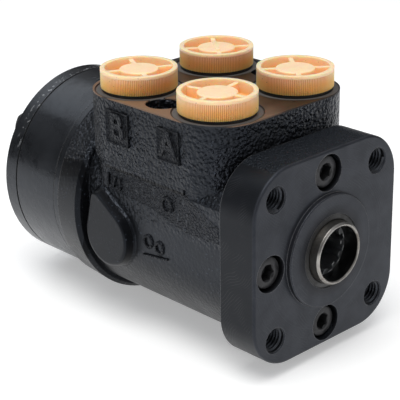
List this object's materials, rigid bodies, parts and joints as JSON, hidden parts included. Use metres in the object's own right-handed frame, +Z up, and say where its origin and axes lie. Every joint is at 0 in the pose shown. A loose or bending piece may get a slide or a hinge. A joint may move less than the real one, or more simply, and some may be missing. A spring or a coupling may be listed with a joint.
{
  "type": "orbital steering unit",
  "caption": "Orbital hydraulic steering unit with a square column flange, a splined input, a valve housing with plugged ports and a bolted round metering stack at the rear.",
  "frame": {"origin": "centre of the flange's mounting face, on the shaft axis", "axes": "-Y out of the mounting flange towards the steering column, +Y back along the shaft to the metering stack, +Z up out of the ports, +X to the side of the P and T ports"},
  "size_m": [0.0928, 0.1643, 0.1086],
  "materials": {
    "black_casting": "black paint over a rough casting",
    "black_cover": "thin black paint over a milled face",
    "dark_screws": "blackened steel",
    "rubber": "black nitrile rubber",
    "bearing_steel": "ground steel",
    "valve_steel": "hardened and ground steel with an oily tint",
    "spring_steel": "blued spring steel",
    "black_steel": "glossy black paint over turned steel",
    "plug_plastic": "translucent orange polyethylene"
  },
  "bodies": {
    "unit": {"housing": "black_casting", "front_cover": "black_cover", "cover_screws": "dark_screws", "dust_wiper": "rubber", "shaft_seal": "rubber", "cover_o_ring": "rubber", "bearing_race_front": "bearing_steel", "housing_o_ring": "rubber", "spacer_plate": "black_steel", "stator_o_ring": "rubber", "stator_ring": "black_steel", "end_cover_o_ring": "rubber", "end_cover": "black_steel", "end_bolts": "dark_screws", "ball_stop_bolt": "dark_screws", "ball_stop_pin": "bearing_steel", "bolt_washers": "black_steel"},
    "sleeve_set": {"sleeve": "valve_steel", "cross_pin": "bearing_steel", "spring_retaining_ring": "spring_steel", "bearing_race_rear": "bearing_steel", "centering_springs": "spring_steel"},
    "spool": {"spool": "valve_steel"},
    "bearing": {"needle_thrust_bearing": "bearing_steel"},
    "orbit": {"rotor_spacer": "bearing_steel"},
    "rotor": {"rotor": "valve_steel"},
    "drive_shaft": {"drive_shaft": "bearing_steel"},
    "check_ball": {"check_ball": "bearing_steel"},
    "plug_a": {"port_plug_a": "plug_plastic", "plug_seal_a": "rubber"},
    "plug_b": {"port_plug_b": "plug_plastic", "plug_seal_b": "rubber"},
    "plug_p": {"port_plug_p": "plug_plastic", "plug_seal_p": "rubber"},
    "plug_t": {"port_plug_t": "plug_plastic", "plug_seal_t": "rubber"}
  },
  "joints": [
    {"name": "sleeve_spin", "type": "hinge", "parent": "unit", "child": "sleeve_set", "pos_m": [0, 0.06, 0], "axis": [0, 1, 0], "continuous": true},
    {"name": "spool_lag", "type": "hinge", "parent": "sleeve_set", "child": "spool", "pos_m": [0, 0.06, 0], "axis": [0, 1, 0], "range_deg": [-10, 10], "stiffness_Nm_per_rad": 8, "deforming": ["centering_springs"]},
    {"name": "bearing_spin", "type": "hinge", "parent": "unit", "child": "bearing", "pos_m": [0, 0.0206, 0], "axis": [0, 1, 0], "continuous": true},
    {"name": "rotor_orbit", "type": "hinge", "parent": "unit", "child": "orbit", "pos_m": [0, 0.12975, 0], "axis": [0, 1, 0], "continuous": true},
    {"name": "rotor_spin", "type": "hinge", "parent": "orbit", "child": "rotor", "pos_m": [0, 0.12975, -0.0029], "axis": [0, 1, 0], "continuous": true},
    {"name": "shaft_spin", "type": "hinge", "parent": "orbit", "child": "drive_shaft", "pos_m": [0, 0.084, 0], "axis": [0, 0.998, -0.0633], "continuous": true},
    {"name": "check_ball_lift", "type": "slide", "parent": "unit", "child": "check_ball", "axis": [0, 1, 0], "range_m": [0, 0.0015]},
    {"name": "plug_a_lift", "type": "slide", "parent": "unit", "child": "plug_a", "axis": [0, 0, 1], "range_m": [0, 0.03]},
    {"name": "plug_b_lift", "type": "slide", "parent": "unit", "child": "plug_b", "axis": [0, 0, 1], "range_m": [0, 0.03]},
    {"name": "plug_p_lift", "type": "slide", "parent": "unit", "child": "plug_p", "axis": [0, 0, 1], "range_m": [0, 0.03]},
    {"name": "plug_t_lift", "type": "slide", "parent": "unit", "child": "plug_t", "axis": [0, 0, 1], "range_m": [0, 0.03]}
  ],
  "couplings": [
    {"joint": "bearing_spin", "follows": "sleeve_spin", "ratio": 0.5},
    {"joint": "rotor_orbit", "follows": "sleeve_spin", "ratio": -6},
    {"joint": "rotor_spin", "follows": "sleeve_spin", "ratio": 7},
    {"joint": "shaft_spin", "follows": "sleeve_spin", "ratio": 7}
  ]
}
